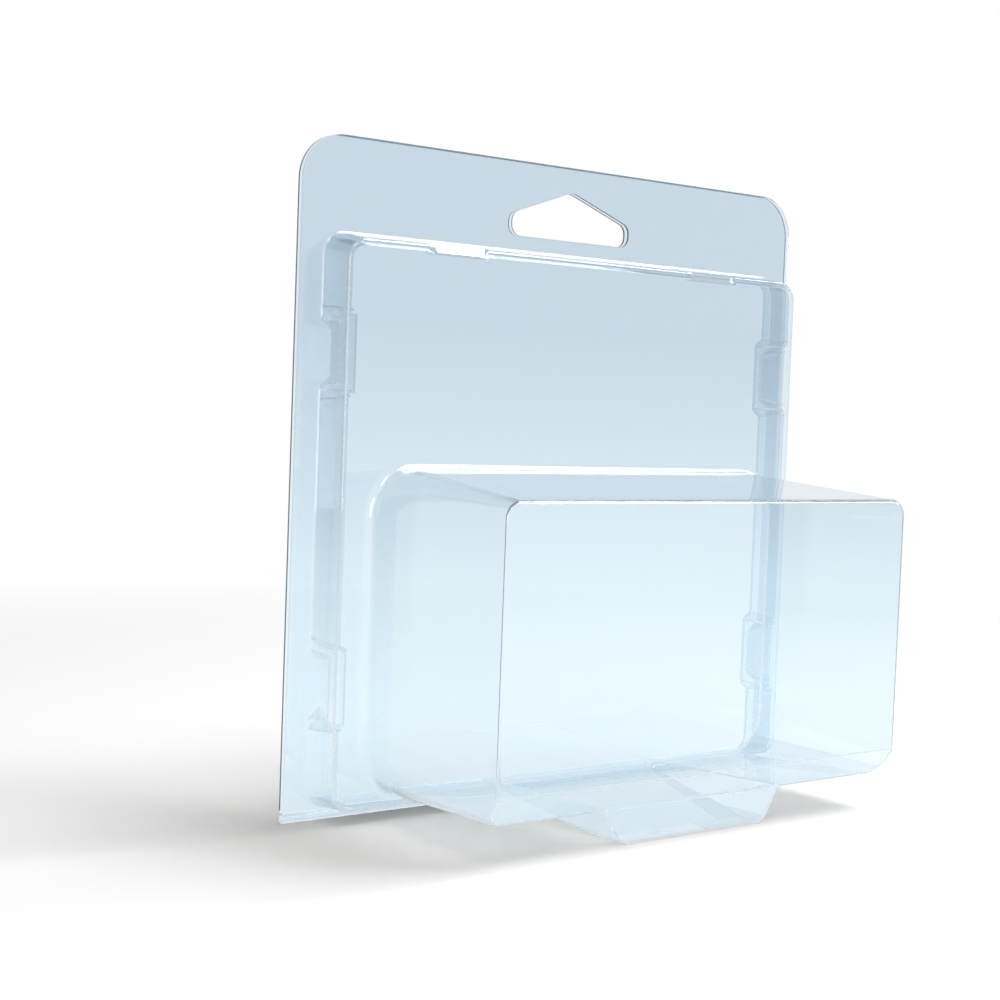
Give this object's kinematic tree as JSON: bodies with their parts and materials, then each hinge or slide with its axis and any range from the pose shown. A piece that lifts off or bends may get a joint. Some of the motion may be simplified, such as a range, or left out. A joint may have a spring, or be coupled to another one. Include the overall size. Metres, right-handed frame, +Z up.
{
  "type": "clamshell pack",
  "caption": "Clear thermoformed clamshell pack: folded sheet with a hinged back half, shallow tray, deep bubble, hang hole and stand foot.",
  "frame": {"origin": "middle of the pack's bounding box at the surface it stands on, below the middle of the bubble's depth", "axes": "+X across the pack to the right seen from the front, +Y from the bubble towards the flat back, +Z up towards the hang hole"},
  "size_m": [0.132, 0.0512, 0.1326],
  "materials": {
    "clear_sheet": "clear PET sheet, 0.5 mm, glossy"
  },
  "bodies": {
    "front_half": {"front_shell": "clear_sheet"},
    "back_half": {"back_shell": "clear_sheet"}
  },
  "joints": [
    {"name": "fold_hinge", "type": "hinge", "parent": "front_half", "child": "back_half", "pos_m": [0, 0.02465, 0.0009], "axis": [-1, 0, 0], "range_deg": [0, 180]}
  ]
}
